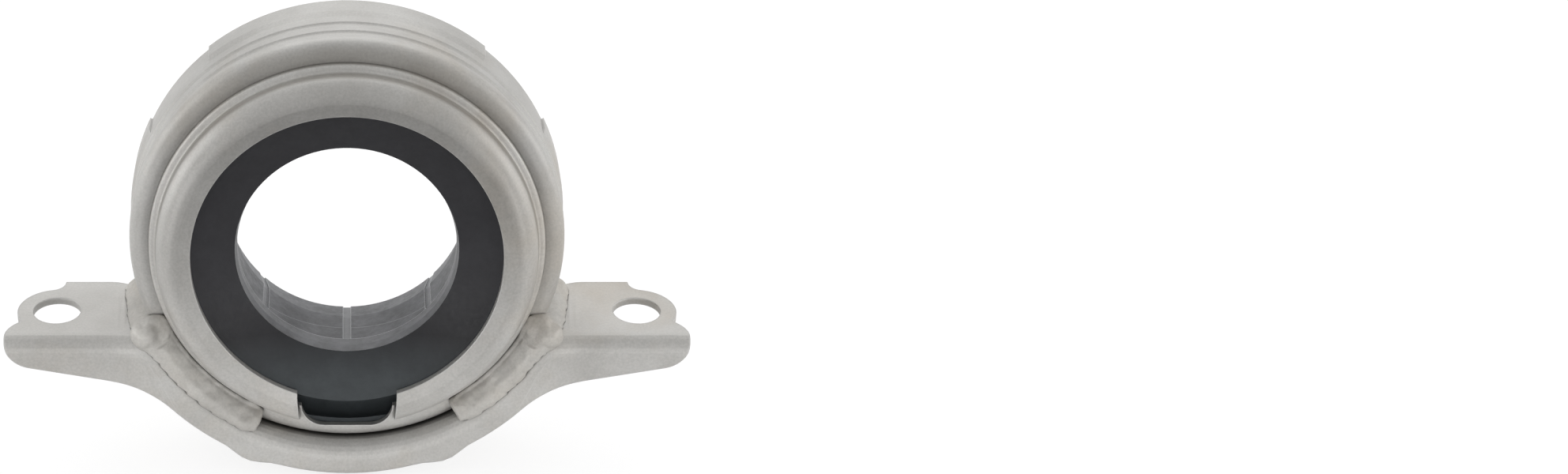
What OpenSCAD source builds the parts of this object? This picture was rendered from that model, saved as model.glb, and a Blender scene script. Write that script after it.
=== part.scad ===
// Driveshaft centre bearing mount: a sheet drum holding a rubber cushion with the bearing seat,
// closed by a domed front retainer and welded into a pressed channel bracket with two bolt ears.
// Millimetres. The origin is the middle of the bearing seat on the shaft axis, +Z is the bolt axis,
// and -Y is the front. The shaft axis leans by shaft_tilt, with its front end up.

/* [Bearing seat] */
// Diameter of the seat for the bearing's outer ring
seat_d = 62; // [60:0.5:64]
// Length of the seat along the shaft
seat_l = 17.6; // [15:0.2:19]
// Number of vent grooves along the seat
groove_n = 8; // [4:1:12]
// Width of a vent groove
groove_w = 2; // [1:0.1:3]
// Depth of a vent groove
groove_depth = 0.5; // [0.3:0.1:0.8]

/* [Rubber cushion] */
// Height of the lip that stops the bearing at the front
lip_h = 1.9; // [1.5:0.1:3]
// Length of the front lip along the shaft
lip_l = 6.4; // [4.5:0.1:8]
// Length of the bevel on the front edge of the lip
bevel_l = 2.7; // [1:0.1:4]
// Depth of the bevel on the front edge of the lip
bevel_depth = 0.5; // [0.2:0.1:1]
// Height by which the mouth at the rear flares out from the seat
mouth_h = 2; // [1:0.1:4]
// Length of the flared mouth at the rear
mouth_l = 10; // [6:0.5:14]
// Thickness of the layer bonded to the inside of the drum
layer_t = 3.5; // [2:0.1:5]
// Width of the cavity between that layer and the hub round the seat
cavity_w = 10.1; // [8:0.1:12]
// Thickness of the web that joins layer and hub
web_t = 9; // [6:0.5:12]
// Rounding of the hub's rear edge
hub_round = 1.5; // [0.5:0.1:3]

/* [Drum] */
// Outer diameter of the drum
drum_d = 115.6; // [113:0.2:120]
// Length of the drum along the shaft
drum_l = 29.5; // [27:0.5:33]
// Thickness of the drum's sheet
drum_sheet = 2; // [1.5:0.1:2.5]
// Distance from the middle of the seat to the drum's front face
drum_front = 12.7; // [11.5:0.1:14]
// Outer radius of the drum's front corner
rim_r = 4.5; // [3.5:0.1:5.5]
// Width of the lip turned in at the front
rim_lip_w = 8.8; // [8.3:0.1:9.6]
// Number of rolled grooves round the drum
roll_n = 2; // [1:1:2]
// Width of a rolled groove
roll_w = 3.3; // [2:0.1:4]
// Depth of a rolled groove
roll_depth = 0.6; // [0.3:0.1:0.9]
// Distance from one rolled groove to the next
roll_pitch = 6.2; // [5:0.1:6.5]
// Width of the raised band at the rear
band_w = 7.5; // [5:0.5:9]
// Height of the raised band above the drum
band_h = 0.7; // [0.4:0.1:1]
// Length of the slope from the raised band down to the drum
band_slope = 2.5; // [1:0.1:3]
// Angle from the top at which the upper stretch of band ends
band_top = 39; // [30:1:45]
// Angle from the top at which the side stretch of band starts
band_side = 65; // [55:1:75]
// Angle from the top at which the side stretch of band ends
band_end = 106; // [90:1:108]

/* [Front retainer] */
// Thickness of the retainer's sheet
retainer_sheet = 2; // [1.5:0.1:2.3]
// Distance from the drum's outside in to the edge of the retainer's foot
foot_in = 5.3; // [4.8:0.1:5.8]
// Width of the foot outside the dome's wall
foot_w = 1.95; // [1.5:0.05:2.5]
// Height of the dome above the drum's front face
dome_h = 9.8; // [8.5:0.1:11]
// Outer radius of the dome's shoulder
dome_r = 6; // [4:0.1:6.5]
// Width of the hub's edge that the dome covers
hub_cover = 1.1; // [0.2:0.1:2.2]
// Drop of the dome's inner edge below its crown
dome_dish = 0.5; // [0:0.1:1]
// Rounding of the foot's outer edge
foot_round = 1.4; // [0.8:0.1:1.5]
// Radius of the crease between foot and wall
crease_r = 0.8; // [0.4:0.1:1.2]
// Width of the slot at the dome's opening
slot_w_in = 26.6; // [22:0.2:30]
// Width of the slot at the foot
slot_w_out = 24.7; // [20:0.2:28]
// Radius of the scoop's corners in the drum's lip
scoop_r = 6.2; // [3:0.2:8]
// Depth of the scoop past the foot of the retainer
scoop_past = 0.9; // [0.5:0.1:1.2]

/* [Bracket] */
// Angle between the shaft axis and the plane of the bolt ears
shaft_tilt = 6; // [3:0.5:7]
// Distance between the two bolts
bolt_pitch = 158; // [154:0.5:166]
// Diameter of a bolt hole
bolt_hole_d = 13; // [9:0.5:14]
// Distance from the shaft axis down to the top of the ears
ear_drop = 26.5; // [24:0.5:30]
// Radius of the tab round a bolt hole
tab_r = 10.8; // [9.6:0.1:12]
// Distance from the bolt line to the channel's front face
channel_front = 15.8; // [15:0.1:17]
// Distance from the bolt line to the channel's rear face
channel_back = 16.6; // [16:0.1:16.8]
// Thickness of the bracket's sheet
bracket_sheet = 2; // [1.5:0.1:2.5]
// Outer radius of the front bend
front_bend = 4.8; // [4:0.1:5.5]
// Outer radius of the rear bend
rear_bend = 2.4; // [2.2:0.1:3.5]
// Length of the front flange past the bolt
flange_past = 13.4; // [12:0.2:15]
// Radius of the lower corner at the end of the front flange
end_r = 8; // [6:0.1:8.4]
// Radius with which the front flange flares out from the tab
flare_r = 9; // [7:0.1:10]
// Distance from the bolt line to the start of the flare
flare_at = 4; // [3:0.1:5.4]
// Depth of the front flange below the ear at the bolt
flange_depth = 9.7; // [8:0.1:11]
// Slope of the front flange's lower edge along the ear
flange_slope = 10.8; // [6:0.2:14]
// Depth of the front flange below the saddle
flange_h = 8.7; // [7.6:0.1:11]
// Radius of the lower edge where ear and saddle meet
flange_fillet = 26; // [18:1:32]
// Depth of the rear flange
rear_depth = 6; // [4:0.2:6.4]
// Radius of the fold where ear and saddle meet
shoulder_r = 8; // [7.5:0.1:9]
// Length of ear over which the tilt starts
twist_l = 9; // [6:0.5:12]
// Height of the two lobes under the saddle
lobe_h = 1.5; // [0.5:0.1:2.5]
// Angle of the lobes from straight down
lobe_at = 23.5; // [20:0.5:28]
// Half the angle that a lobe spans
lobe_half = 7; // [5:0.5:9]
// Distance from the bolt in to the step at the rear edge of the ear
step_in = 1.3; // [0:0.1:3]
// Radius of the fillet between tab and step
step_fillet = 4; // [3.2:0.1:5]
// Gap between saddle and drum
saddle_gap = 0.1; // [0.05:0.01:0.2]

/* [Welds] */
// Gap between the retainer's foot and the inner toe of the front run
toe_gap = 0.7; // [0.3:0.1:0.8]
// Width of the front run, measured out from the shaft axis
run_w = 7.1; // [6.3:0.1:7.8]
// Height of a run's face above flat
run_crown = 1; // [0.6:0.1:1.4]
// Angle below level at which the front run starts
run_from = 25.5; // [24:0.5:28]
// Angle below level at which the front run ends
run_to = 61.5; // [50:0.5:66]
// Radius by which the front run swells where it stops
stop_swell = 0.3; // [0.2:0.1:0.5]
// Radius of the blob where the two runs meet
blob_r = 4.2; // [3.8:0.1:4.6]
// Width of the side run between ear and drum
side_w = 6.6; // [5.5:0.1:7.5]
// Height of the side run above the ear
side_h = 4.1; // [3:0.1:5]
// Distance from the start of the saddle out to the side run's front corner
side_out = 2.7; // [2.2:0.1:3.2]
// Distance from the bolt line to the side run's front corner
side_front = 9.5; // [8:0.5:11]
// Length of the side run
side_l = 22; // [14:0.5:23]
// Angle between the side run and straight back
side_turn = 6.4; // [4:0.2:8]

/* [Hidden] */
$fn = 144;
over = 1;
drum_r = drum_d / 2;
drum_in = drum_r - drum_sheet;
drum_back = drum_front - drum_l;
rim_lip_r = drum_r - rim_lip_w;
rim_centre = [drum_r - rim_r, drum_front - rim_r];
rim_inner = rim_r - drum_sheet;
band_bite = drum_sheet / 2;
band_run = band_slope * (band_h + band_bite) / band_h;
roll_cut = (pow(roll_w / 2, 2) + pow(roll_depth, 2)) / (2 * roll_depth);
roll_first = rim_centre[1] - roll_w;
foot_r = drum_r - foot_in;
dome_out = foot_r - foot_w;
dome_in = dome_out - retainer_sheet;
foot_top = drum_front + retainer_sheet;
crown = drum_front + dome_h;
shoulder = [dome_out - dome_r, crown - dome_r];
shoulder_in = dome_r - retainer_sheet;
seat_r = seat_d / 2;
seat_end = seat_l / 2;
lip_r = seat_r - lip_h;
lip_front = seat_end + lip_l;
mouth_r = seat_r + mouth_h;
mouth_end = -seat_end - mouth_l;
layer_in = drum_in - layer_t;
layer_front = drum_front - drum_sheet;
hub_r = layer_in - cavity_w;
hub_gap = 0.15;
hub_front = crown - dome_dish - retainer_sheet - hub_gap;
opening_r = hub_r - hub_cover;
cavity_r = cavity_w / 2;
cavity_mid = hub_r + cavity_r;
web_front = web_t / 2;
scoop_low = foot_r + scoop_past;
bolt_x = bolt_pitch / 2;
saddle_r = drum_r + saddle_gap;
flange_r = saddle_r + flange_h;
flange_end = bolt_x + flange_past;
end_x = flange_end - end_r;
end_h = -ear_drop - flange_depth + tan(flange_slope) * (end_x - bolt_x) + end_r / cos(flange_slope);
flare = [flange_end - flare_r, -flare_at - flare_r];
step_x = bolt_x - step_in;
step_centre = [step_x + step_fillet, sqrt(pow(tab_r + step_fillet, 2) - pow(step_fillet - step_in, 2))];

// Right half of the web's line seen from the front: a level ear, a fold, and an arc round the shaft
fold_h = -ear_drop - shoulder_r;
fold_x = sqrt(pow(saddle_r + shoulder_r, 2) - pow(fold_h, 2));
fold_turn = atan2(-fold_h, fold_x);
twist_x = fold_x + twist_l;
touch_x = saddle_r * cos(fold_turn);

// Right half of the flanges' lower edge: a sloping line, a fillet, and an arc round the shaft
edge_up = [-sin(flange_slope), cos(flange_slope)];
edge_along = [cos(flange_slope), sin(flange_slope)];
edge_level = [bolt_x, -ear_drop - flange_depth] * edge_up;
edge_run = sqrt(pow(flange_r + flange_fillet, 2) - pow(edge_level - flange_fillet, 2));
edge_centre = (edge_level - flange_fillet) * edge_up + edge_run * edge_along;
edge_turn = atan2(-edge_centre[1], edge_centre[0]);
edge_tangent = edge_centre + flange_fillet * edge_up;

twist_steps = 5;
fold_steps = 8;
saddle_steps = 20;
bend_steps = 6;
blank_depth = shoulder_r - over;

function mix(a, b, k) = a + (b - a) * k;
function ease(k) = k * k * (3 - 2 * k);
function around(a) = [cos(a), sin(a)];
function lobe(a) = abs(a) < lobe_half ? lobe_h * pow(cos(90 * a / lobe_half), 2) : 0;
function edge_reach(a) = flange_r + lobe(abs(a + 90) - lobe_at);

// A station holds the web's point, its outward normal and the lower edge's point
function ear_station(x, edge_x) =
    let (edge_h = -ear_drop - flange_depth + tan(flange_slope) * (edge_x - bolt_x))
    [[x, -ear_drop], [0, -1], [edge_x, edge_h]];
function fold_station(k) =
    let (a = mix(90, 180 - fold_turn, k), b = mix(90 + flange_slope, 180 - edge_turn, k))
    [[fold_x, fold_h] + shoulder_r * around(a), -around(a), edge_centre + flange_fillet * around(b)];
function saddle_station(k) =
    let (a = mix(-fold_turn, -90, k), b = mix(-edge_turn, -90, k))
    [saddle_r * around(a), around(a), edge_reach(b) * around(b)];

right_half = concat(
    [ear_station(flange_end, flange_end)],
    [for (i = [0 : twist_steps - 1]) let (k = i / twist_steps)
        ear_station(mix(twist_x, fold_x, k), mix(twist_x + over, edge_tangent[0], k))],
    [for (i = [0 : fold_steps - 1]) fold_station(i / fold_steps)],
    [for (i = [0 : saddle_steps]) saddle_station(i / saddle_steps)]);
function flip(p) = [-p[0], p[1]];
left_half = [for (i = [len(right_half) - 2 : -1 : 0]) [for (p = right_half[i]) flip(p)]];
stations = concat(right_half, left_half);

// A loop holds depth and distance below the web for each point; an edge point has no distance
function bend(side, face, r, t, from, to) =
    [for (i = [0 : bend_steps]) let (a = mix(from, to, i / bend_steps))
        [side * (face - r + (r - t) * sin(a)), r - (r - t) * cos(a)]];
outer_bends = concat(bend(-1, channel_front, front_bend, 0, 90, 0),
    bend(1, channel_back, rear_bend, 0, 0, 90));
inner_bends = concat(bend(1, channel_back, rear_bend, bracket_sheet, 90, 0),
    bend(-1, channel_front, front_bend, bracket_sheet, 0, 90));
channel_loop = concat([[-channel_front]], outer_bends, [[channel_back, rear_depth]],
    [[channel_back - bracket_sheet, rear_depth]], inner_bends, [[-channel_front + bracket_sheet]]);
blank_loop = concat([[-channel_front, blank_depth]], outer_bends, [[channel_back, blank_depth]]);

// The lean of the channel grows from nothing at the ear to the shaft's own where the saddle starts
function tilt_at(x) = shaft_tilt * ease(max(0, min(1, (twist_x - abs(x)) / (twist_x - touch_x))));
function lean(p, depth) =
    let (tilt = tilt_at(p[0]))
    [p[0], depth * cos(tilt) + p[1] * sin(tilt), -depth * sin(tilt) + p[1] * cos(tilt)];
function loop_point(s, l) = lean(len(l) == 1 ? s[2] : s[0] + l[1] * s[1], l[0]);

// Centre and radius of an arc from a to b that rises by h to its left
function arc_r(a, b, h) = let (c = norm(b - a) / 2) (c * c + h * h) / (2 * h);
function arc_centre(a, b, h) =
    let (u = (b - a) / norm(b - a)) (a + b) / 2 + (arc_r(a, b, h) - h) * [u[1], -u[0]];

toe_in = foot_r + toe_gap;
toe_out = toe_in + run_w;
bend_centre = [saddle_r + front_bend, channel_front - front_bend];
front_toes = [[toe_in, drum_front],
    [toe_out, bend_centre[1] + sqrt(pow(front_bend, 2) - pow(bend_centre[0] - toe_out, 2))]];
front_mid = (front_toes[0] + front_toes[1]) / 2;
front_span = front_toes[1] - front_toes[0];
front_arc = arc_centre(front_toes[0], front_toes[1], run_crown);
front_root = drum_front - rim_r / 2;
side_x = touch_x + side_out;
side_toes = [[0, side_h], [side_w, 0]];
side_root = [-side_out, -bracket_sheet];

module swept(loop) {
    n = len(loop);
    last = len(stations) - 1;
    points = [for (s = stations) for (l = loop) loop_point(s, l)];
    sides = [for (i = [0 : last - 1]) for (j = [0 : n - 1]) let (a = i * n + j, b = i * n + (j + 1) % n)
        each i < last / 2 ? [[a, a + n, b], [b, a + n, b + n]] : [[a, a + n, b + n], [a, b + n, b]]];
    strips = [for (j = [0 : n / 2 - 2]) [j, j + 1, n - 2 - j, n - 1 - j]];
    far_strips = [for (f = strips) [for (j = [3 : -1 : 0]) last * n + f[j]]];
    polyhedron(points, concat(sides, strips, far_strips));
}

// Stands a shape turned about Z on the leaning shaft axis, with its +Z to the front
module on_shaft() {
    rotate([90 - shaft_tilt, 0, 0]) children();
}

// Rectangle in a section, from its lowest corner to its highest
module block(lo, hi) {
    translate(lo) square(hi - lo);
}

// Quarter of a bent sheet in a section, curving from +X to +Y round its centre
module quarter(centre, r_in, r_out) {
    translate(centre) intersection() {
        difference() {
            circle(r_out);
            circle(r_in);
        }
        square(r_out);
    }
}

module drum_section() {
    difference() {
        union() {
            block([drum_in, drum_back], [drum_r, rim_centre[1]]);
            quarter(rim_centre, rim_inner, rim_r);
            block([rim_lip_r, layer_front], [rim_centre[0], drum_front]);
        }
        for (i = [0 : roll_n - 1])
            translate([drum_r + roll_cut - roll_depth, roll_first - i * roll_pitch]) circle(roll_cut);
    }
}

module band(from, to) {
    rotate([0, 0, 90 - to]) rotate_extrude(angle = to - from)
        polygon([[drum_r - band_bite, drum_back], [drum_r + band_h, drum_back],
            [drum_r + band_h, drum_back + band_w], [drum_r - band_bite, drum_back + band_w + band_run]]);
}

// Round-cornered opening in the drum's front lip, at the bottom
module scoop() {
    half = slot_w_out / 2;
    translate([-half, -scoop_low + scoop_r]) square([2 * half, scoop_low - scoop_r]);
    translate([-half + scoop_r, -scoop_low]) square([2 * (half - scoop_r), scoop_r]);
    for (x = [-1, 1]) translate([x * (half - scoop_r), -scoop_low + scoop_r]) circle(scoop_r);
}

module drum_housing() {
    color("silver") on_shaft() difference() {
        union() {
            rotate_extrude() drum_section();
            band(-band_top, band_top);
            band(band_side, band_end);
            band(-band_end, -band_side);
        }
        translate([0, 0, layer_front - over]) linear_extrude(drum_sheet + 2 * over) scoop();
    }
}

module retainer_section() {
    difference() {
        block([dome_in, drum_front], [foot_r, foot_top]);
        difference() {
            block([foot_r - foot_round, foot_top - foot_round], [foot_r + over, foot_top + over]);
            translate([foot_r - foot_round, foot_top - foot_round]) circle(foot_round);
        }
    }
    difference() {
        block([dome_out, foot_top], [dome_out + crease_r, foot_top + crease_r]);
        translate([dome_out + crease_r, foot_top + crease_r]) circle(crease_r);
    }
    block([dome_in, foot_top], [dome_out, shoulder[1]]);
    quarter(shoulder, shoulder_in, dome_r);
    polygon([[opening_r, crown - dome_dish - retainer_sheet], [shoulder[0], crown - retainer_sheet],
        [shoulder[0], crown], [opening_r, crown - dome_dish]]);
}

module front_retainer() {
    color("gainsboro") on_shaft() difference() {
        rotate_extrude() retainer_section();
        translate([0, 0, drum_front - over]) linear_extrude(dome_h + 2 * over)
            polygon([[-slot_w_in / 2, -seat_r], [slot_w_in / 2, -seat_r], [slot_w_in / 2, -opening_r],
                [slot_w_out / 2, -foot_r - over], [-slot_w_out / 2, -foot_r - over],
                [-slot_w_in / 2, -opening_r]]);
    }
}

module cushion_section() {
    difference() {
        polygon([[lip_r + bevel_depth, lip_front], [hub_r, hub_front], [layer_in, hub_front],
            [layer_in, layer_front], [drum_in, layer_front], [drum_in, drum_back], [hub_r, drum_back],
            [hub_r, mouth_end], [mouth_r, mouth_end], [seat_r, -seat_end], [seat_r, seat_end],
            [lip_r, seat_end], [lip_r, lip_front - bevel_l]]);
        block([hub_r, web_front + cavity_r], [layer_in, hub_front + over]);
        translate([cavity_mid, web_front + cavity_r]) circle(cavity_r);
        block([hub_r, mouth_end - over], [layer_in, -web_front - cavity_r]);
        translate([cavity_mid, -web_front - cavity_r]) circle(cavity_r);
        difference() {
            block(rim_centre, rim_centre + [rim_r, rim_r]);
            translate(rim_centre) circle(rim_inner);
        }
        difference() {
            block([hub_r - hub_round, mouth_end - over], [hub_r + over, mouth_end + hub_round]);
            translate([hub_r - hub_round, mouth_end + hub_round]) circle(hub_round);
        }
    }
}

module vent_groove() {
    reach = seat_r + groove_depth;
    rotate([90, 0, 0]) translate([0, 0, -groove_w / 2]) linear_extrude(groove_w)
        polygon([[lip_r, seat_end], [reach, seat_end], [reach, -seat_end],
            [mouth_r + groove_depth, mouth_end - over], [lip_r, mouth_end - over]]);
}

module rubber_cushion() {
    color("dimgray") on_shaft() difference() {
        rotate_extrude() cushion_section();
        for (i = [0 : groove_n - 1]) rotate([0, 0, -90 + i * 360 / groove_n]) vent_groove();
    }
}

// What is cut off a right ear seen from above, leaving tab, inner plate and the flare of the flange
module ear_trim() {
    difference() {
        block([step_x, flare[1]], [flange_end + over, channel_back + over]);
        block([step_x, flare[1]], [flare[0], -flare_at]);
        translate(flare) circle(flare_r);
        translate([bolt_x, 0]) circle(tab_r);
        difference() {
            polygon([[step_x, 0], [bolt_x, 0], step_centre, [step_x, step_centre[1]]]);
            translate(step_centre) circle(step_fillet);
        }
    }
}

// What is cut off the end of a right front flange seen from the front, leaving a round corner
module flange_trim() {
    difference() {
        block([end_x + end_r * sin(flange_slope), end_h - 2 * end_r], [flange_end + over, end_h]);
        translate([end_x, end_h]) circle(end_r);
    }
}

module bracket() {
    inside = channel_front - bracket_sheet;
    color("lightgray") difference() {
        swept(channel_loop);
        for (side = [0, 1]) mirror([side, 0, 0]) {
            translate([bolt_x, 0, -ear_drop - front_bend]) cylinder(h = 2 * front_bend, d = bolt_hole_d);
            translate([0, 0, -ear_drop - 2 * flange_depth]) linear_extrude(3 * flange_depth) ear_trim();
            rotate([90, 0, 0]) translate([0, 0, inside - over])
                linear_extrude(bracket_sheet + 2 * over) flange_trim();
        }
    }
}

// Section of a run of weld: a flat arc from toe to toe over the box that its root fills
module run_section(toes, lo, hi) {
    intersection() {
        translate(arc_centre(toes[0], toes[1], run_crown)) circle(arc_r(toes[0], toes[1], run_crown));
        block(lo, hi);
    }
}

// Run between the drum's front corner and the front bend, with a round stop and a blob at its start
module front_run() {
    on_shaft() {
        rotate([0, 0, -run_to]) {
            rotate_extrude(angle = run_to - run_from)
                run_section(front_toes, [toe_in - over, front_root], [bend_centre[0], crown]);
            intersection() {
                translate([front_arc[0], 0, front_arc[1]])
                    sphere(arc_r(front_toes[0], front_toes[1], run_crown) + stop_swell);
                translate([front_mid[0], 0, front_mid[1]])
                    rotate([0, -atan2(front_span[1], front_span[0]), 0])
                        cylinder(h = 2 * front_bend, r = norm(front_span) / 2, center = true);
            }
        }
        rotate([0, 0, -run_from]) translate([front_mid[0], 0, drum_front]) sphere(blob_r);
    }
}

// Run between ear and drum, with its front corner turned towards the front run
module side_run() {
    top = [side_w, side_h + run_crown];
    translate([side_x, -side_front, -ear_drop]) rotate([0, 0, -side_turn]) {
        translate([0, side_l, 0]) rotate([90, 0, 0]) linear_extrude(side_l)
            run_section(side_toes, side_root, top);
        rotate([0, 0, -90]) rotate_extrude(angle = 90) run_section(side_toes, [0, side_root[1]], top);
    }
}

module drum_blank() {
    on_shaft() rotate_extrude() {
        block([0, drum_back - drum_l], [drum_r, rim_centre[1]]);
        block([0, rim_centre[1]], [rim_centre[0], drum_front]);
        quarter(rim_centre, 0, rim_r);
    }
}

module weld(side) {
    color("darkgray") difference() {
        mirror([side, 0, 0]) {
            front_run();
            side_run();
        }
        drum_blank();
        swept(blank_loop);
    }
}

module weld_left() {
    weld(1);
}

module weld_right() {
    weld(0);
}

drum_housing();
front_retainer();
rubber_cushion();
bracket();
weld_left();
weld_right();
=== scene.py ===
import math

import bmesh
import bpy
from mathutils import Matrix, Vector, noise


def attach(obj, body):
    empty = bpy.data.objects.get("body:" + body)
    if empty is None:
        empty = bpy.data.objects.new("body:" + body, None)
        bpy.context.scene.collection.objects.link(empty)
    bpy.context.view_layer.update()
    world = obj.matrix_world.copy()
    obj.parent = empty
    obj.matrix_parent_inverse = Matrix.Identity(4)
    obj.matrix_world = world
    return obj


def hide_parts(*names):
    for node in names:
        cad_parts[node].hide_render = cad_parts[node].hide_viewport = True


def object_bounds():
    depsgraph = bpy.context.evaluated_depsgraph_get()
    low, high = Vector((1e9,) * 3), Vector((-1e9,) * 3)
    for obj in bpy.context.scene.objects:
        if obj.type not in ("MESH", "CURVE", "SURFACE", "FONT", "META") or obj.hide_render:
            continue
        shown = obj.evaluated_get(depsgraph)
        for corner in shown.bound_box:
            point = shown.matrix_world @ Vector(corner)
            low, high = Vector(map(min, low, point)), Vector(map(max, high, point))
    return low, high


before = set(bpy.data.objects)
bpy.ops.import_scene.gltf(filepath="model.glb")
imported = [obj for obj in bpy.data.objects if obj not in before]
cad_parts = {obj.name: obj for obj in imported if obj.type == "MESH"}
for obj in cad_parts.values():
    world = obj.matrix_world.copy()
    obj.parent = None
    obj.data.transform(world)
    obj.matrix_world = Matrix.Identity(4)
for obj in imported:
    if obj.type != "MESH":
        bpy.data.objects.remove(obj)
cad_low, cad_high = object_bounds()


# Drum housing: a band of mild steel sheet rolled into a drum, its front edge turned in to a lip, with
# two rolled grooves and a raised band at the rear. A satin silver-grey coat covers it, with painted
# highlights on its edges and painted shade in its creases, and the top of the lip has painted shade, a
# little browner.
coat_tone = (0.53, 0.522, 0.503)
coat_shade = (0.46, 0.45, 0.43)
# Colour of the painted shade in creases
crease_shade_colour = (0.10, 0.092, 0.085)
coat_stain = (0.93, 0.89, 0.84)
# Colour of the painted highlight on the coat's edges
edge_highlight_colour = (0.66, 0.655, 0.64)
coat_metal = 0.4
clouds = dict(Scale=55.0, Detail=3.0, Roughness=0.55)
stains = dict(Scale=24.0, Detail=5.0, Roughness=0.62)
specks = dict(Scale=1500.0, Detail=2.0, Roughness=0.6)
paint_peel = dict(Scale=420.0, Detail=3.0, Roughness=0.5)
cloud_from, cloud_full = 0.3, 0.62
stain_from, stain_full = 0.47, 0.68
speck_full, speck_clear = 0.3, 0.7
speck_tone, speck_rough = 0.84, 0.07
peel_strength, peel_height = 0.12, 0.0003
# Where the painted edge highlight starts, where it is full, and its largest share
highlight_from, highlight_full, highlight_most = 0.99, 0.90, 0.55
edge_rays, crease_rays = 8, 8
crease_full = 0.2
# Each line of painted shade in the creases: how far it reaches, how open a corner stays clear of it, how
# strong it is
crease_lines = [(0.0008, 0.74, 0.65), (0.0050, 0.62, 0.5)]
drum_rough, drum_edge = 0.52, 0.0005
# The top of the lip is painted darker and a little browner by height: painted shade
lip_top_shade = (0.80, 0.785, 0.765)
lip_from, lip_full = -0.0106, -0.0124
lip_low, lip_high = 0.022, 0.052
shaft_tilt = math.radians(6)


def new_material(name):
    material = bpy.data.materials.new(name)
    material.use_nodes = True
    return material


def body_of(material):
    return material.node_tree.nodes["Principled BSDF"]


def add_node(material, kind, **settings):
    node = material.node_tree.nodes.new(kind)
    for name, value in settings.items():
        if hasattr(node, name):
            setattr(node, name, value)
        else:
            node.inputs[name.replace("_", " ")].default_value = value
    return node


def join(material, source, target):
    material.node_tree.links.new(source, target)


def worked(material, operation, first, second=0.0):
    node = add_node(material, "ShaderNodeMath", operation=operation)
    for socket, value in zip(node.inputs, (first, second)):
        if isinstance(value, float):
            socket.default_value = value
        else:
            join(material, value, socket)
    return node.outputs["Value"]


def eased(material, value, start, stop, least=0.0, most=1.0):
    ease = add_node(material, "ShaderNodeMapRange", From_Min=start, From_Max=stop, To_Min=least, To_Max=most)
    join(material, value, ease.inputs["Value"])
    return ease.outputs["Result"]


def grey(value):
    return (value, value, value)


def shade_of(material, factor, stops):
    ramp = add_node(material, "ShaderNodeValToRGB")
    while len(ramp.color_ramp.elements) < len(stops):
        ramp.color_ramp.elements.new(1.0)
    for element, (place, colour) in zip(ramp.color_ramp.elements, stops):
        element.position = place
        element.color = (*colour, 1.0)
    join(material, factor, ramp.inputs["Fac"])
    return ramp.outputs["Color"]


def tinted(material, colour, tint, amount=1.0):
    mix = add_node(material, "ShaderNodeMix", data_type="RGBA", blend_type="MULTIPLY")
    mix.inputs["Factor"].default_value = amount
    join(material, colour, mix.inputs["A"])
    join(material, tint, mix.inputs["B"])
    return mix.outputs["Result"]


def painted(material, under, over, share):
    mix = add_node(material, "ShaderNodeMix", data_type="RGBA")
    join(material, share, mix.inputs["Factor"])
    join(material, under, mix.inputs["A"])
    if isinstance(over, tuple):
        mix.inputs["B"].default_value = (*over, 1.0)
    else:
        join(material, over, mix.inputs["B"])
    return mix.outputs["Result"]


def place_on(material):
    return add_node(material, "ShaderNodeTexCoord").outputs["Object"]


def mottled(material, place, pattern):
    spots = add_node(material, "ShaderNodeTexNoise", **pattern)
    join(material, place, spots.inputs["Vector"])
    return spots.outputs["Fac"]


def edges_of(material, width, rays):
    flat = add_node(material, "ShaderNodeNewGeometry")
    rounded = add_node(material, "ShaderNodeBevel", samples=rays, Radius=width)
    same = add_node(material, "ShaderNodeVectorMath", operation="DOT_PRODUCT")
    join(material, flat.outputs["Normal"], same.inputs[0])
    join(material, rounded.outputs["Normal"], same.inputs[1])
    return same.outputs["Value"], rounded.outputs["Normal"]


def satin_coat(name, tone, shade, rough, edge_round, creases=crease_lines):
    coat = new_material(name)
    body = body_of(coat)
    place = place_on(coat)
    speck = mottled(coat, place, specks)
    colour = shade_of(coat, mottled(coat, place, clouds), [(cloud_from, shade), (cloud_full, tone)])
    stain_stops = [(stain_from, grey(1.0)), (stain_full, coat_stain)]
    colour = tinted(coat, colour, shade_of(coat, mottled(coat, place, stains), stain_stops))
    speck_stops = [(speck_full, grey(speck_tone)), (speck_clear, grey(1.0))]
    colour = tinted(coat, colour, shade_of(coat, speck, speck_stops))
    # Edges, convex and concave, are painted lighter from the bevel's rounded normal: a painted highlight
    flatness, soft_edge = edges_of(coat, edge_round, edge_rays)
    edge_highlight = eased(coat, flatness, highlight_from, highlight_full, most=highlight_most)
    colour = painted(coat, colour, edge_highlight_colour, edge_highlight)
    # Creases are painted darker from the ambient occlusion: painted shade
    for reach, clear, amount in creases:
        crease = add_node(coat, "ShaderNodeAmbientOcclusion", samples=crease_rays, Distance=reach)
        painted_shade = shade_of(coat, crease.outputs["AO"], [(crease_full, crease_shade_colour), (clear, grey(1.0))])
        colour = tinted(coat, colour, painted_shade, amount)
    join(coat, colour, body.inputs["Base Color"])
    rough_stops = [(speck_full, grey(rough - speck_rough)), (speck_clear, grey(rough + speck_rough))]
    join(coat, shade_of(coat, speck, rough_stops), body.inputs["Roughness"])
    skin = add_node(coat, "ShaderNodeBump", Strength=peel_strength, Distance=peel_height)
    join(coat, mottled(coat, place, paint_peel), skin.inputs["Height"])
    join(coat, soft_edge, skin.inputs["Normal"])
    join(coat, skin.outputs["Normal"], body.inputs["Normal"])
    body.inputs["Metallic"].default_value = coat_metal
    return coat


# Multiplies painted light and shade into a coat's base colour
def tint_with_painted_light(material, tint):
    colour = body_of(material).inputs["Base Color"]
    join(material, tinted(material, colour.links[0].from_socket, tint), colour)


def place_on_shaft(material):
    turned = add_node(material, "ShaderNodeMapping", vector_type="POINT", Rotation=(shaft_tilt, 0, 0))
    join(material, place_on(material), turned.inputs["Vector"])
    return turned.outputs["Vector"]


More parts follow.
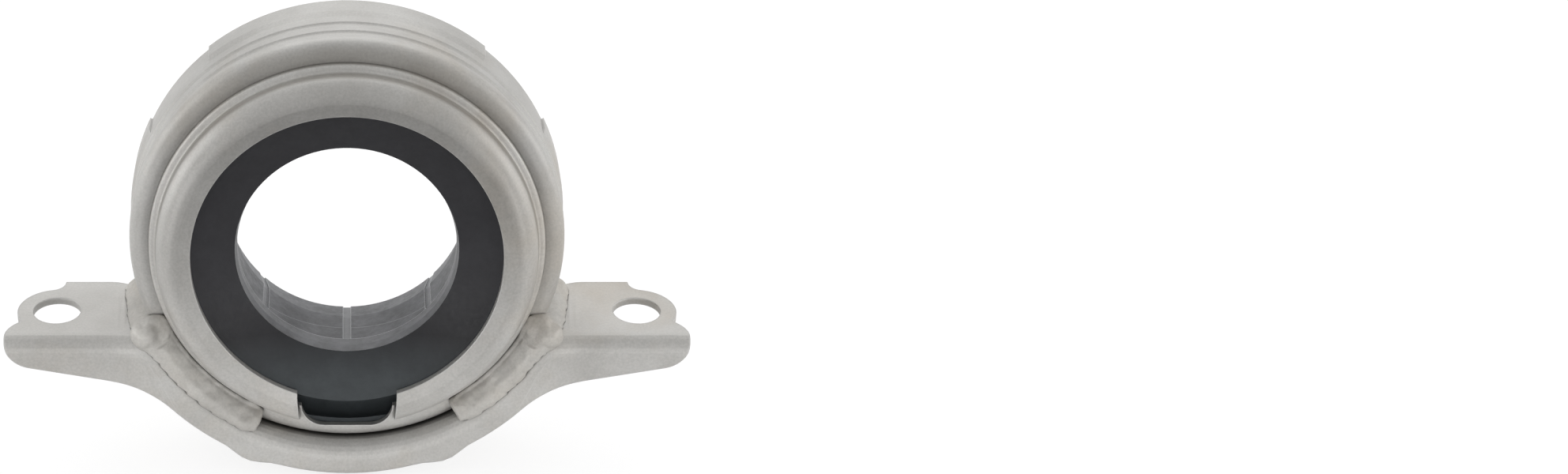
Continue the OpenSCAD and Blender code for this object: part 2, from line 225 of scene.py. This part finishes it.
def taken_apart(material, place):
    apart = add_node(material, "ShaderNodeSeparateXYZ")
    join(material, place, apart.inputs["Vector"])
    return apart.outputs["X"], apart.outputs["Y"], apart.outputs["Z"]


def dress(piece, material):
    piece.data.materials.clear()
    piece.data.materials.append(material)


drum_coat = satin_coat("drum coat", coat_tone, coat_shade, drum_rough, drum_edge)
along, up = taken_apart(drum_coat, place_on_shaft(drum_coat))[1:]
# Painted shade on the top of the lip, by place along and up the shaft
on_lip = eased(drum_coat, along, lip_from, lip_full)
at_top = eased(drum_coat, up, lip_low, lip_high)
shaded_lip_top = worked(drum_coat, "MULTIPLY", on_lip, at_top)
tint_with_painted_light(drum_coat, shade_of(drum_coat, shaded_lip_top, [(0.0, grey(1.0)), (1.0, lip_top_shade)]))
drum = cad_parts["drum_housing"]
dress(drum, drum_coat)


# Rubber cushion: one moulding of black rubber bonded into the drum. The bearing seat is moulded into its
# hub, with vent grooves along it and a stop lip in front. Its face has a painted sheen low down, and its
# bore is paler grey, partly dust from handling and partly painted light, with painted highlights along its
# grooves and edges.
rubber_black = (0.034, 0.0335, 0.038)
# Face colours by height: a lighter, greener painted sheen low down, darkest a little below the middle
face_shade = (0.012, 0.0118, 0.0145)
face_sheen = (0.046, 0.053, 0.057)
face_low, face_high = -0.040, 0.010
face_light_and_shade = [(0.06, face_sheen), (0.32, face_shade), (0.8, rubber_black)]
face_smears = [(0.35, grey(0.8)), (0.65, grey(1.0))]
# The bore is paler grey: partly dust, partly painted light where light grazes it
bore_dust_and_light = (0.15, 0.153, 0.162)
bore_thin_dust_and_light = (0.09, 0.0918, 0.0972)
bore_smears = [(0.38, bore_thin_dust_and_light), (0.62, bore_dust_and_light)]
smears = dict(Scale=160.0, Detail=6.0, Roughness=0.7)
grain = dict(Scale=900.0, Detail=3.0, Roughness=0.6)
grain_rough = [(0.3, grey(0.38)), (0.7, grey(0.52))]
grain_strength, grain_height = 0.15, 0.0002
rubber_shine = 0.30
bore_radius = 0.034
groove_floor = 0.0312
seat_half = 0.0088
mouth_flare = 0.2
stop_front, stop_edge, stop_share = 0.0152, 0.0003, 0.1
mark_depth, mark_sag, mark_half, mark_share = 0.0016, 7.86, 0.00014, 0.34
# Colour of the paler lines in the bore: painted highlight along the groove floors and edges, also on the
# stop lip and one curved line low in the bore
pale_line_tone = (0.46, 0.465, 0.475)
edge_width, rubber_edge_rays = 0.00045, 6
bore_edge_from, bore_edge_full = 0.995, 0.94


def radius_of(material, place):
    flattened = add_node(material, "ShaderNodeVectorMath", operation="MULTIPLY")
    flattened.inputs[1].default_value = (1, 0, 1)
    join(material, place, flattened.inputs[0])
    length = add_node(material, "ShaderNodeVectorMath", operation="LENGTH")
    join(material, flattened.outputs["Vector"], length.inputs[0])
    return length.outputs["Value"]


rubber = new_material("black rubber")
on_shaft = place_on_shaft(rubber)
across, along, up = taken_apart(rubber, on_shaft)
radius = radius_of(rubber, on_shaft)

narrow = worked(rubber, "LESS_THAN", radius, bore_radius)
behind_stop = eased(rubber, along, -stop_front, -stop_front + stop_edge)
in_bore = worked(rubber, "MULTIPLY", narrow, behind_stop)
past_seat = worked(rubber, "MAXIMUM", worked(rubber, "SUBTRACT", along, seat_half), 0.0)
floor_radius = worked(rubber, "ADD", worked(rubber, "MULTIPLY", past_seat, mouth_flare), groove_floor)
deep = worked(rubber, "GREATER_THAN", worked(rubber, "SUBTRACT", radius, floor_radius), 0.0)
on_seat = worked(rubber, "GREATER_THAN", along, -seat_half)
in_groove = worked(rubber, "MULTIPLY", worked(rubber, "MULTIPLY", deep, on_seat), in_bore)
on_stop = worked(rubber, "MULTIPLY", worked(rubber, "SUBTRACT", 1.0, on_seat), in_bore)
sag = worked(rubber, "MULTIPLY", worked(rubber, "MULTIPLY", across, across), mark_sag)
off_mark = worked(rubber, "SUBTRACT", worked(rubber, "ADD", along, sag), mark_depth)
near_mark = worked(rubber, "LESS_THAN", worked(rubber, "ABSOLUTE", off_mark), mark_half)
low_side = worked(rubber, "LESS_THAN", up, 0.0)
on_mark = worked(rubber, "MULTIPLY", worked(rubber, "MULTIPLY", near_mark, low_side), in_bore)

place = place_on(rubber)
smear = mottled(rubber, place, smears)
pores = mottled(rubber, place, grain)
# Painted sheen and shade on the face, by height
face = shade_of(rubber, eased(rubber, up, face_low, face_high), face_light_and_shade)
face = tinted(rubber, face, shade_of(rubber, smear, face_smears))
# Paler bore: partly dust, partly painted light
face_and_bore = painted(rubber, face, shade_of(rubber, smear, bore_smears), in_bore)
flatness = edges_of(rubber, edge_width, rubber_edge_rays)[0]
# Painted highlight along the bore's edges and over the grooves, where they would show shade; also paler on
# the stop lip and one curved line
bore_edge_highlight = worked(rubber, "MULTIPLY", eased(rubber, flatness, bore_edge_from, bore_edge_full), in_bore)
groove_or_mark = worked(rubber, "MULTIPLY", worked(rubber, "MAXIMUM", in_groove, on_mark), mark_share)
stop_or_edge = worked(rubber, "MAXIMUM", worked(rubber, "MULTIPLY", on_stop, stop_share), bore_edge_highlight)
pale_lines = worked(rubber, "MAXIMUM", stop_or_edge, groove_or_mark)
body = body_of(rubber)
join(rubber, painted(rubber, face_and_bore, pale_line_tone, pale_lines), body.inputs["Base Color"])
join(rubber, shade_of(rubber, pores, grain_rough), body.inputs["Roughness"])
body.inputs["Specular IOR Level"].default_value = rubber_shine
moulding = add_node(rubber, "ShaderNodeBump", Strength=grain_strength, Distance=grain_height)
join(rubber, pores, moulding.inputs["Height"])
join(rubber, moulding.outputs["Normal"], body.inputs["Normal"])
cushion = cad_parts["rubber_cushion"]
dress(cushion, rubber)


# Front retainer: a domed ring pressed from mild steel sheet. Its foot sits on the drum's lip and its dome
# covers the hub's face, with one slot at the bottom. It is coated with the drum, and rings of painted
# highlight
# and painted shade run round it: a lighter ring between two darker lines near its edge, and a darker inner
# slope.
ring_tone = (0.61, 0.60, 0.577)
ring_shade = (0.53, 0.518, 0.494)
ring_rough, ring_edge = 0.48, 0.0006
ring_inner, ring_outer = 0.0400, 0.0540
ring_crease_shade = (0.56, 0.545, 0.525)
# Rings of painted highlight and painted shade, by radius
ring_light_and_shade = [(0.0, grey(0.85)), (0.55, grey(0.88)), (0.725, grey(0.86)), (0.750, ring_crease_shade),
              (0.772, grey(1.0)), (0.87, grey(1.0)), (0.892, ring_crease_shade)]
ring_coat = satin_coat("retainer coat", ring_tone, ring_shade, ring_rough, ring_edge)
radius = radius_of(ring_coat, place_on_shaft(ring_coat))
tint_with_painted_light(ring_coat, shade_of(ring_coat, eased(ring_coat, radius, ring_inner, ring_outer), ring_light_and_shade))
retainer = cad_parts["front_retainer"]
dress(retainer, ring_coat)


# Bracket: one pressing of mild steel sheet, a channel that carries the drum in its saddle and ends in two
# bolt ears. It has the drum's satin coat, with more painted shade where the saddle meets the drum.
bracket_edge = 0.0008
# The second line of painted shade reaches further and is stronger, darkening the saddle beside the drum
saddle_creases = [(0.0008, 0.74, 0.65), (0.0060, 0.66, 0.85)]
bracket_coat = satin_coat("bracket coat", coat_tone, coat_shade, drum_rough, bracket_edge, saddle_creases)
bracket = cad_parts["bracket"]
dress(bracket, bracket_coat)


# Welds: on each side one run of weld metal lies along the drum's front corner and one between ear and drum,
# and they meet in a blob. They are laid by hand, so they are uneven, and the front run has a blunt end.
weld_tone = (0.55, 0.535, 0.505)
weld_shade = (0.44, 0.425, 0.40)
weld_rough, weld_edge = 0.56, 0.0005
left_end, right_end = math.radians(61.5), math.radians(55.2)
blunt_length, blunt_taper = math.radians(3.6), 0.72
run_radius = 0.0567
weld_grid, same_point = 0.0003, 0.000003
weld_flow, flow_share = 18, 0.5
weld_swell = 0.00042
toe_reach = 0.0009
ridge_radius, ridge_half, ridge_rise = 0.0580, 0.0036, 0.0014
# Each drop where the runs meet: its radius, and how far it is out, down and forward from the seat's middle
drops = [(0.0030, 0.0546, 0.0254, 0.0140), (0.0028, 0.0522, 0.0243, 0.0146)]
drop_facets = 3
face_radius, face_ahead, face_slope = 0.0532, 0.0131, 0.37
flat_share, flat_to, flat_fade = 0.75, 0.0588, 0.0025
lump_size, lump_height = 0.0034, 0.00036
ripple_size, ripple_height = 0.0011, 0.0001
streak_width, streak_turn, streak_height = 0.0013, 0.3, 0.00012
sideways = Vector((1, 0, 0))
shaft_front = Vector((0, -math.cos(shaft_tilt), math.sin(shaft_tilt)))
shaft_up = Vector((0, math.sin(shaft_tilt), math.cos(shaft_tilt)))
weld_coat = satin_coat("weld coat", weld_tone, weld_shade, weld_rough, weld_edge)


def end_bluntly(metal, side, run_end):
    outward = side * math.cos(run_end) * sideways - math.sin(run_end) * shaft_up
    onward = -side * math.sin(run_end) * sideways - math.cos(run_end) * shaft_up
    cut = bmesh.ops.bisect_plane(metal, geom=metal.verts[:] + metal.edges[:] + metal.faces[:],
                                 plane_co=run_radius * outward, plane_no=onward, clear_outer=True)
    rim = [item for item in cut["geom_cut"] if isinstance(item, bmesh.types.BMEdge)]
    end = bmesh.ops.edgeloop_fill(metal, edges=rim)["faces"]
    longer = bmesh.ops.extrude_face_region(metal, geom=end)["geom"]
    tip = [item for item in longer if isinstance(item, bmesh.types.BMVert)]
    further = Matrix.Rotation(-side * blunt_length, 3, shaft_front)
    bmesh.ops.rotate(metal, verts=tip, cent=(0, 0, 0), matrix=further)
    middle = sum((point.co for point in tip), Vector()) / len(tip)
    bmesh.ops.scale(metal, verts=tip, vec=(blunt_taper, blunt_taper, blunt_taper),
                    space=Matrix.Translation(-middle))


def flowed(node, metal):
    rough = bpy.data.meshes.new(node + "_rough")
    metal.to_mesh(rough)
    piece = bpy.data.objects.new(node + "_laid", rough)
    bpy.context.scene.collection.objects.link(piece)
    grid = piece.modifiers.new("grid", "REMESH")
    grid.mode, grid.voxel_size = "VOXEL", weld_grid
    flow = piece.modifiers.new("flow", "SMOOTH")
    flow.factor, flow.iterations = flow_share, weld_flow
    molten = piece.evaluated_get(bpy.context.evaluated_depsgraph_get())
    laid = bpy.data.meshes.new_from_object(molten)
    piece.modifiers.clear()
    piece.data = laid
    return piece


def hand_laid(spot, facing):
    up, ahead = spot.dot(shaft_up), spot.dot(shaft_front)
    out = math.hypot(spot.x, up)
    along_run = Vector((out / streak_width, ahead / streak_width, math.atan2(up, spot.x) / streak_turn))
    lump = lump_height * noise.noise(spot / lump_size)
    ripple = ripple_height * noise.noise(spot / ripple_size)
    streak = streak_height * noise.noise(along_run)
    inward = -(spot.x * sideways + up * shaft_up).normalized()
    toe = toe_reach * max(0, facing.dot(inward))
    ridge = 1 - ((out - ridge_radius) / ridge_half) ** 2
    rise = ridge_rise * max(0, ridge) * max(0, facing.dot(shaft_front))
    above_face = ahead - face_ahead - face_slope * (out - face_radius)
    rise -= flat_share * max(0, above_face) * min(1, max(0, (flat_to - out) / flat_fade))
    swell = weld_swell + lump + ripple + streak
    return spot + swell * facing + toe * inward + rise * shaft_front


def laid_weld(node, side, run_end):
    metal = bmesh.new()
    metal.from_mesh(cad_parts[node].data)
    bmesh.ops.remove_doubles(metal, verts=metal.verts, dist=same_point)
    end_bluntly(metal, side, run_end)
    for size, out, low, ahead in drops:
        drop = side * out * sideways - low * shaft_up + ahead * shaft_front
        bmesh.ops.create_icosphere(metal, subdivisions=drop_facets, radius=size,
                                   matrix=Matrix.Translation(drop))
    bmesh.ops.recalc_face_normals(metal, faces=metal.faces)
    piece = flowed(node, metal)
    metal.free()
    points = piece.data.vertices
    for point, spot in zip(points, [hand_laid(point.co, point.normal) for point in points]):
        point.co = spot
    piece.data.shade_smooth()
    dress(piece, weld_coat)
    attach(piece, "root")
    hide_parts(node)


laid_weld("weld_left", -1, left_end)
laid_weld("weld_right", 1, right_end)


# Floor: a sheet of white studio paper under the mount. It keeps a soft shadow of its own and glows white
# for the camera, a little more in front, where the dark card shades it.
floor_half = 6.0
floor_z = cad_low.z
floor_tone, floor_rough = grey(0.8), 0.9
glow_strength = 1.15
glow_open, glow_at_card = 0.7, 0.9
card_near, card_blend = -0.105, 0.03
bpy.ops.mesh.primitive_plane_add(size=2 * floor_half, location=(0, 0, floor_z))
floor = bpy.context.object
floor.name = "studio_floor"
white = new_material("white floor")
paper = body_of(white)
paper.inputs["Base Color"].default_value = (*floor_tone, 1.0)
paper.inputs["Roughness"].default_value = floor_rough
glow = add_node(white, "ShaderNodeEmission", Strength=glow_strength)
ray = add_node(white, "ShaderNodeLightPath").outputs
seen = worked(white, "MAXIMUM", ray["Is Camera Ray"], ray["Is Glossy Ray"])
seen = worked(white, "MAXIMUM", seen, ray["Is Transmission Ray"])
spot = add_node(white, "ShaderNodeNewGeometry").outputs["Position"]
along = taken_apart(white, spot)[1]
glow_share = eased(white, along, card_near + card_blend, card_near, glow_open, glow_at_card)
lit = add_node(white, "ShaderNodeMixShader")
join(white, worked(white, "MULTIPLY", seen, glow_share), lit.inputs["Fac"])
join(white, paper.outputs["BSDF"], lit.inputs[1])
join(white, glow.outputs["Emission"], lit.inputs[2])
join(white, lit.outputs["Shader"], white.node_tree.nodes["Material Output"].inputs["Surface"])
dress(floor, white)


# Dark card: a sheet of dark felt on the floor in front of the mount. It keeps the floor's light off the
# faces that look forward and down, and the camera doesn't see it.
card_far, card_half, card_lift = -0.9, 0.7, 0.001
card_z = floor_z + card_lift
felt_tone, felt_rough = grey(0.04), 0.9
card_mesh = bpy.data.meshes.new("dark_card")
card_mesh.from_pydata([(-card_half, card_far, card_z), (card_half, card_far, card_z),
                       (card_half, card_near, card_z), (-card_half, card_near, card_z)], [], [(0, 1, 2, 3)])
card = bpy.data.objects.new("dark_card", card_mesh)
bpy.context.scene.collection.objects.link(card)
card.visible_camera = False
felt = new_material("dark felt")
body_of(felt).inputs["Base Color"].default_value = (*felt_tone, 1.0)
body_of(felt).inputs["Roughness"].default_value = felt_rough
dress(card, felt)


# Lamps: an even white room, a large soft lamp high behind the mount, one at each side, and three narrow
# weak ones near the floor that lift the front of the bracket and the welds.
room_light = 0.65
mount_middle, saddle_front, ear_fronts = (0, 0, 0), (0, 0, -0.05), (0, 0, -0.03)
room = bpy.data.worlds.new("studio")
room.use_nodes = True
room.node_tree.nodes["Background"].inputs["Color"].default_value = (1, 1, 1, 1)
room.node_tree.nodes["Background"].inputs["Strength"].default_value = room_light
bpy.context.scene.world = room


def soft_lamp(name, place, aim, width, depth, power, spread=180):
    lamp = bpy.data.lights.new(name, "AREA")
    lamp.shape = "RECTANGLE"
    lamp.size, lamp.size_y, lamp.energy = width, depth, power
    lamp.spread = math.radians(spread)
    holder = bpy.data.objects.new(name, lamp)
    holder.location = place
    holder.rotation_euler = (Vector(place) - Vector(aim)).to_track_quat("Z", "Y").to_euler()
    bpy.context.scene.collection.objects.link(holder)


soft_lamp("back", (0, 0.9, 0.75), mount_middle, width=1.2, depth=0.8, power=5.2)
soft_lamp("left side", (-0.9, 0.1, 0.2), mount_middle, width=0.6, depth=0.5, power=2.2)
soft_lamp("right side", (0.9, 0.1, 0.2), mount_middle, width=0.6, depth=0.5, power=2.2)
soft_lamp("low front", (0, -0.6, -0.01), saddle_front, width=0.5, depth=0.05, power=0.016, spread=14)
soft_lamp("low left", (-0.45, -0.5, -0.01), ear_fronts, width=0.3, depth=0.05, power=0.022, spread=20)
soft_lamp("low right", (0.45, -0.5, -0.01), ear_fronts, width=0.3, depth=0.05, power=0.022, spread=20)


# Camera: it stands in front of the mount and looks down on it, with the front of the bore at the same
# place in the frame as in the photograph.
photo_w, photo_h = 1984, 600
focal_px = 3840
centre_px = (439, 318)
sensor_mm = 36
camera_tilt = math.radians(31.2)
camera_far = 0.8
bore_front = Vector((0, -0.015117, 0.001589))
lens = bpy.data.cameras.new("camera")
lens.sensor_width = sensor_mm
lens.lens = focal_px / photo_w * sensor_mm
lens.shift_x = (photo_w / 2 - centre_px[0]) / photo_w
lens.shift_y = (centre_px[1] - photo_h / 2) / photo_w
camera = bpy.data.objects.new("camera", lens)
camera.location = bore_front + camera_far * Vector((0, -math.cos(camera_tilt), math.sin(camera_tilt)))
camera.rotation_euler = (math.radians(90) - camera_tilt, 0, 0)
bpy.context.scene.collection.objects.link(camera)
bpy.context.scene.camera = camera
bpy.context.scene.view_settings.view_transform = "Standard"
